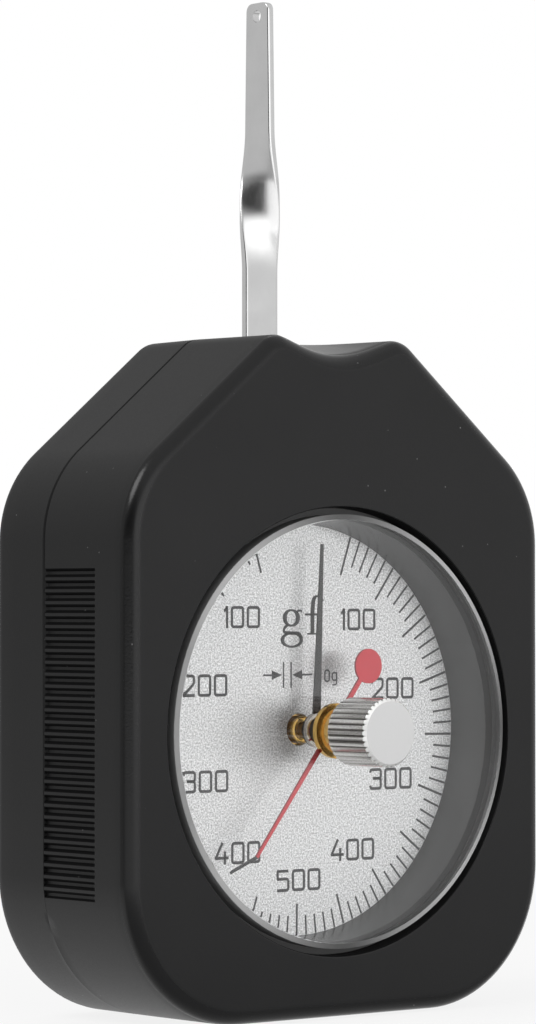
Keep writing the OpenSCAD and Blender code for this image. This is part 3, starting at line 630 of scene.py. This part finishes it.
for metal, pale, dark, along, rough, names in (
    ("brushed_brass", (0.68, 0.47, 0.17, 1), (0.5, 0.32, 0.09, 1), (1, 1, 0.06), 0.2,
        ["front_plate", "rear_plate", "lever_bushes", "needle_rear_bush", "lever_hub", "sector_gear",
            "spring_collet", "hairspring_collet"]),
    ("turned_steel", (0.58, 0.58, 0.6, 1), (0.4, 0.4, 0.42, 1), (0.08, 1, 1), 0.24,
        ["plate_pillars", "stop_pins", "spring_stud", "hairspring_stud", "lever_rivets", "lever_arbor",
            "reset_spindle"]),
    ("blued_steel", (0.12, 0.15, 0.26, 1), (0.06, 0.07, 0.13, 1), (1, 0.1, 1), 0.25,
        ["pillar_screws", "plate_screws", "main_spring", "hairspring"]),
    ("bronzed_steel", (0.3, 0.23, 0.15, 1), (0.17, 0.12, 0.07, 1), (1, 0.1, 1), 0.22, ["pinion_arbor"]),
    ("black_oxide_steel", (0.16, 0.16, 0.165, 1), (0.08, 0.08, 0.083, 1), (1, 0.2, 1), 0.32,
        ["case_screws"])):
    material = finish(metal, brushed(pale, dark, along, rough), Metallic=1.0)
    for name in names:
        dress(name, material)


# Bush in the dial, collar of the needle and needle: a turned brass bearing, a turned nickelled collar pressed
# on the arbor, and a thin blade in black satin lacquer.
def lacquered(tap):
    """Black satin lacquer with a faint orange peel."""
    peel = tap.grain(0.35, 2.0)
    return {
        "Base_Color": tap.blend(peel, grey(0.012), grey(0.02)),
        "Roughness": 0.3 + peel * 0.15,
        "Normal": tap.bump(peel, 0.008, 0.4)}


def lathed(pale, dark):
    """Rings left by the turning tool: fine uneven bands square to the dial axis."""
    def wire(tap):
        rings = tap.grain(0.09, 2.0, (0.15, 1, 0.15))
        return {
            "Base_Color": tap.blend(rings, dark, pale),
            "Roughness": 0.1 + rings * 0.12,
            "Normal": tap.bump(rings, 0.006, 0.6)}
    return wire


turned_brass = finish("turned_brass", lathed((0.9, 0.6, 0.2, 1), (0.5, 0.29, 0.07, 1)), Metallic=1.0)
nickel = finish("bright_nickel", lathed((0.62, 0.59, 0.55, 1), (0.4, 0.37, 0.33, 1)), Metallic=1.0)
edge_cut = 0.05
dial_bush = eased([[0.85, -7.0], [1.3, -7.0], [1.5, -6.8], [1.5, -5.6], [2.58, -5.6], [2.58, -4.0],
    [0.85, -4.0]], edge_cut)
piece("dial_bush", [turned(dial_bush)], turned_brass, "case", ["needle_front_bush"])
needle_collar = eased([[0.62, -9.92], [1.6, -9.92], [1.95, -9.72], [1.95, -9.22], [1.1, -9.22], [1.1, -8.97],
    [1.5, -8.97], [1.5, -8.77], [1.2, -8.62], [0.62, -8.62]], edge_cut)
piece("needle_collar", [turned(needle_collar)], nickel, "needle", ["needle_hub"])
dress("needle", finish("black_lacquer", lacquered))


# Memory hand: thin brass strip in red lacquer with a round counterweight; its end is bent back towards the
# dial, left dark, and stops just in front of the needle.
def red_and_dark(tap):
    """Red lacquer as far as the bend, and dark grey beyond it, by the distance from the dial axis."""
    peel = tap.grain(0.35, 2.0)
    beyond = from_axis(tap).vector("LENGTH", out="Value") > 0.01715
    red = tap.blend(peel, (0.35, 0.024, 0.034, 1), (0.42, 0.03, 0.042, 1))
    return {
        "Base_Color": tap.blend(beyond, red, (0.03, 0.03, 0.032, 1)),
        "Roughness": 0.34 + peel * 0.12,
        "Normal": tap.bump(peel, 0.008, 0.4)}


dress("memory_hand", finish("red_lacquer", red_and_dark, Specular_IOR_Level=0.35))
dress("memory_hub", nickel)


# Bush and friction washer in the crystal, and the reset knob: turned brass, a sprung brass cup, and a
# nickelled knob with a straight knurl, a turned chamfer at each end and a flat satin face.
glass_bush = eased([[1.25, -15.07], [2.4, -15.07], [2.4, -12.755], [3.05, -12.755], [3.05, -12.12],
    [2.9, -11.97], [1.25, -11.97]], edge_cut)
piece("glass_bush", [turned(glass_bush)], turned_brass, "case", ["crystal_bush"])
spring_cup = eased([[1.3, -16.1], [1.6, -16.1], [2.3, -15.37], [2.3, -15.085], [2.0, -15.085], [1.3, -15.75]],
    edge_cut)
piece("spring_cup", [turned(spring_cup)], turned_brass, "memory", ["friction_washer"])

# the knob: radius over turn and y, the lesser of the knurl's wave and the two chamfers, closed by flat ends
# with the spindle's bore in the back one
knob_r, knob_front, knob_back, ridges, ridge_depth, bore_r = 3.75, -22.5, -16.1, 36, 0.25, 1.22
bore_floor, chamfer_run = knob_front + 1.5, 0.45
knob_turn = np.linspace(0, 2 * np.pi, ridges * 12, endpoint=False)
wave = np.abs((knob_turn * ridges / (2 * np.pi) + 0.5) % 1 - 0.5) * 2
ridge = knob_r - ridge_depth * np.clip(2.2 * wave - 1.1, 0, 1)
rim_y = np.concatenate([
    np.linspace(knob_front, knob_front + chamfer_run, 16),
    np.linspace(knob_back - chamfer_run, knob_back, 16)])
chamfer = np.minimum(knob_r - 0.35 + (rim_y - knob_front), knob_r - 0.3 + (knob_back - rim_y))
rim = np.minimum(ridge[None], chamfer[:, None])
middle, bore = 0 * ridge[None], 0 * ridge[None] + bore_r
knob_radius = np.concatenate([middle, rim[:1] * 0.6, rim, bore, bore, middle])
knob_y = np.concatenate([[knob_front, knob_front], rim_y, [knob_back, bore_floor, bore_floor]])[:, None]
knob_points = np.stack([knob_radius * np.sin(knob_turn), knob_y + 0 * knob_radius,
    dial_axis[1] + knob_radius * np.cos(knob_turn)], -1)


def knurled(tap):
    """Bright nickel with painted shade low between the ridges, dark streaks of dirt along them, and a satin
    front face.
    """
    along_y = tap.place().part("Y")
    face, crown = along_y < -0.02249, along_y < -0.02212
    # painted shade: darker low between the ridges of the knurl, by the distance from the dial axis
    low = from_axis(tap).vector("LENGTH", out="Value").run(0.00351, 0.00368, 1.0, 0.0)
    scratch = tap.grain(0.2, 3.0, (1, 0.05, 1))
    streak = tap.grain(0.7, 2.0, (1, 0.03, 1)).run(0.4, 0.62, 0.0, 0.6)
    dirt_and_shade = tap.math("MAXIMUM", low * 0.85, streak)
    sides = tap.blend(dirt_and_shade, (0.78, 0.77, 0.75, 1), (0.1, 0.09, 0.08, 1))
    ends = tap.blend(face, (0.95, 0.95, 0.94, 1), grey(0.62))
    return {
        "Base_Color": tap.blend(crown, sides, ends),
        "Roughness": 0.1 + scratch * 0.12 + crown * 0.32,
        "Normal": tap.bump(scratch, 0.004, 0.4)}


piece("knurled_knob", [skin(knob_points)], finish("knurled_nickel", knurled, Metallic=1.0), "memory",
    ["reset_knob"], sharp=40)


# Feeler: a spring-steel strip, nickel plated, with rounded long edges. It is riveted flat to the lever,
# twisted by a quarter turn above the case and tapered to a tip with a small hole.
pivot = np.array([0, 63.28])
strip_y, strip_wide, strip_half, tip_wide = -0.3, 4.65, 0.45, 3.88
twist_low, twist_high, tip_z, tip_r, eye_z, eye_r = 82.3, 98.8, 112.1, 0.9, 111.5, 0.7
strip_z = np.concatenate([
    [66.2, 70, 75, 80, 82],
    np.linspace(twist_low, twist_high, 61),
    np.linspace(99.6, tip_z, 12),
    tip_z + tip_r * np.sin(np.radians(np.linspace(11, 90, 9)))])

# turn and width over height: the twist eases in and out as 3 t squared less 2 t cubed, and the tip's corners
# are quarter circles
t = np.clip((strip_z - twist_low) / (twist_high - twist_low), 0, 1)
strip_turn = -np.pi / 2 * t * t * (3 - 2 * t)
upper_wide = strip_wide - 0.4 * (strip_wide - tip_wide)
taper = upper_wide + (tip_wide - upper_wide) * (strip_z - twist_high) / (tip_z - twist_high)
half_wide = np.where(strip_z < twist_high, strip_wide + (upper_wide - strip_wide) * t, taper) / 2
tip = tip_wide / 2 - tip_r + np.sqrt(np.clip(tip_r ** 2 - (strip_z - tip_z) ** 2, 0, None))
half_wide = np.where(strip_z > tip_z, tip, half_wide)

# its section, with support points beside the rounded edges, carried up the strip
section = eased([[-2.0, -strip_half], [-1.6, -strip_half], [1.6, -strip_half], [2.0, -strip_half],
    [2.0, strip_half], [1.6, strip_half], [-1.6, strip_half], [-2.0, strip_half]],
    [0.3, 0, 0, 0.3, 0.3, 0, 0, 0.3], True, 9)
local_x = np.sign(section[:, 0]) * (half_wide[:, None] - (2.0 - np.abs(section[:, 0])))
local_y = section[:, 1] + 0 * local_x
cos, sin = np.cos(strip_turn)[:, None], np.sin(strip_turn)[:, None]
strip = np.stack([local_x * cos - local_y * sin, strip_y + local_x * sin + local_y * cos,
    strip_z[:, None] + 0 * local_x], -1)
ends = strip.mean(1, keepdims=True) + 0 * strip
strip = np.concatenate([ends[:1], strip, ends[-1:]])

# the ring at its foot, round the lever's pivot
strip_ring = eased([[2.62, -0.75], [5.2, -0.75], [5.2, 0.15], [2.62, 0.15]], 0.12)


def plated(tap):
    """Bright nickel with fine lines drawn along the strip and a faint haze."""
    drawn = tap.grain(0.1, 3.0, (1, 1, 0.03))
    haze = tap.grain(2.5, 3.0)
    return {
        "Base_Color": tap.blend(haze, grey(0.51), grey(0.59)),
        "Roughness": 0.1 + drawn * 0.1 + haze * 0.06,
        "Normal": tap.bump(drawn, 0.003, 0.35)}


feeler = piece("feeler_strip", [skin(strip), turned(strip_ring, pivot)],
    finish("nickel_plate", plated, Metallic=1.0), "lever", ["feeler"], sharp=40)

# the hole near the tip is drilled through
drill_turn = np.linspace(0, 2 * np.pi, 40, endpoint=False)
drill_rows = np.array([[-1.5, 0], [-1.5, eye_r], [1.5, eye_r], [1.5, 0]])
drill_points, drill_quads = skin(np.stack([drill_rows[:, :1] + 0 * drill_turn,
    strip_y + drill_rows[:, 1:] * np.sin(drill_turn), eye_z + drill_rows[:, 1:] * np.cos(drill_turn)], -1))
drill_mesh = bpy.data.meshes.new("drill")
drill_mesh.from_pydata(drill_points / 1000, [], drill_quads.reshape(-1, 4).tolist())
weld(drill_mesh)
drill = bpy.data.objects.new("drill", drill_mesh)
bpy.context.scene.collection.objects.link(drill)
cut = feeler.modifiers.new("bore", "BOOLEAN")
cut.object, cut.operation, cut.solver, cut.use_self = drill, "DIFFERENCE", "EXACT", True
feeler_drilled = bpy.data.meshes.new_from_object(feeler.evaluated_get(bpy.context.evaluated_depsgraph_get()))
feeler.modifiers.clear()
feeler.data = feeler_drilled
feeler.data.shade_smooth()
feeler.data.set_sharp_from_angle(angle=radians(40))
bpy.data.objects.remove(drill)


# Studio: a white surround, a pale table, one broad lamp from the front right and one from the upper left. The
# camera sees surround and table plain white; mirrors see them shaded, and the light they give is dimmer.
def rays(tap):
    """Three marks, each 1 or 0: for rays from the camera, through the crystal and off a mirror."""
    return [tap.node("LightPath", out=f"Is {kind} Ray") for kind in ("Camera", "Transmission", "Glossy")]


world = bpy.data.worlds.new("studio")
bpy.context.scene.world = world
world.use_nodes = True
tap = Tap(world.node_tree)
seen, through, mirrored = rays(tap)
way = tap.node("TexCoord", out="Generated")
behind = way.part("Y") > 0.0
plain = tap.math("MAXIMUM", seen, through * behind)
dim = way.vector("DOT_PRODUCT", (-0.86, -0.51, 0.0), out="Value").run(0.7, 0.92, 1.0, 0.05)
glow = way.vector("DOT_PRODUCT", (0.06, -1.0, 0.0), out="Value").run(0.82, 0.95, 0.0, 1.1)
bright = mirrored * (1 - through)
even = 0.38 + through * 0.5
level = plain + (1 - plain) * (bright * (dim - behind * 0.18 + glow) + (1 - bright) * even)
surround = world.node_tree.nodes["Background"]
surround.inputs["Strength"].default_value = 1.0
world.node_tree.links.new(level.out, surround.inputs["Color"])


def table_paint(tap):
    """Pale table, barely uneven."""
    uneven = tap.grain(30.0, 2.0)
    return {"Base_Color": tap.blend(uneven, grey(0.88), grey(0.92)), "Roughness": 0.6 + uneven * 0.1}


table_material = finish("table_paint", table_paint)
tree = table_material.node_tree
tap = Tap(tree)
seen, through, mirrored = rays(tap)
spot = tap.place()
# painted light seen in mirrors: a painted shadow just in front of the gauge and a painted glow ahead of it
far = spot.vector("LENGTH", out="Value").run(0.04, 0.2, 0.0, 1.0)
painted_shadow_near = spot.part("Y").run(-0.016, -0.008, 0.5, 1.7)
painted_glow_ahead = spot.part("X").run(0.0, 0.12, 1.9, 1.1)
ahead = spot.part("Y").run(-0.1, 0.0, 1.0, 0.0)
distant = ahead * painted_glow_ahead + (1 - ahead) * 0.6
shown = (1 - through) * (painted_shadow_near + far * (distant - painted_shadow_near)) + through * 0.96
white = tap.node("Emission", Color=seen + (1 - seen) * shown, Strength=1.0)
share = tap.math("MAXIMUM", seen, mirrored) * 0.85
painted = Tap(tree, tree.nodes["Principled BSDF"].outputs[0])
mixed = tap.node("MixShader", i0=share, i1=painted, i2=white)
tree.links.new(mixed.out, tree.nodes["Material Output"].inputs["Surface"])
table_half, table_z = 3, -0.0002
table_mesh = bpy.data.meshes.new("table")
table_mesh.from_pydata([
    (-table_half, -table_half, table_z), (table_half, -table_half, table_z),
    (table_half, table_half, table_z), (-table_half, table_half, table_z)], [], [(0, 1, 2, 3)])
table_mesh.materials.append(table_material)
table_top = bpy.data.objects.new("table", table_mesh)
bpy.context.scene.collection.objects.link(table_top)
for name, at, aim, size, power, mirrors in (
    ("lamp_right", (0.18, -0.74, 0.05), (0, 0, 0.03), (0.56, 0.22), 7.3, False),
    ("lamp_left", (-0.55, 0.0, 0.6), (0, 0, 0.05), (0.4, 0.4), 2.4, True)):
    lamp = bpy.data.lights.new(name, "AREA")
    lamp.shape, lamp.size, lamp.size_y, lamp.energy = "ELLIPSE", *size, power
    holder = bpy.data.objects.new(name, lamp)
    bpy.context.scene.collection.objects.link(holder)
    holder.location = at
    holder.rotation_euler = (Vector(aim) - Vector(at)).to_track_quat("-Z", "Y").to_euler()
    holder.visible_glossy = holder.visible_transmission = mirrors


# Camera: a long lens a little above the table, turned to the left of the gauge and tilted up by about a
# degree. Colours are shown as they are written.
lens = bpy.data.cameras.new("camera")
lens.sensor_fit, lens.sensor_height, lens.lens = "VERTICAL", 36, 141.41
lens.clip_start, lens.clip_end = 0.01, 50
camera = bpy.data.objects.new("camera", lens)
bpy.context.scene.collection.objects.link(camera)
turn, tilt = radians(39.78), radians(1.30)
sight = Vector((np.sin(turn) * np.cos(tilt), np.cos(turn) * np.cos(tilt), np.sin(tilt)))
camera.location = (-0.28889, -0.34874, 0.04532)
camera.rotation_euler = sight.to_track_quat("-Z", "Y").to_euler()
bpy.context.scene.camera = camera
bpy.context.scene.view_settings.view_transform = "Standard"
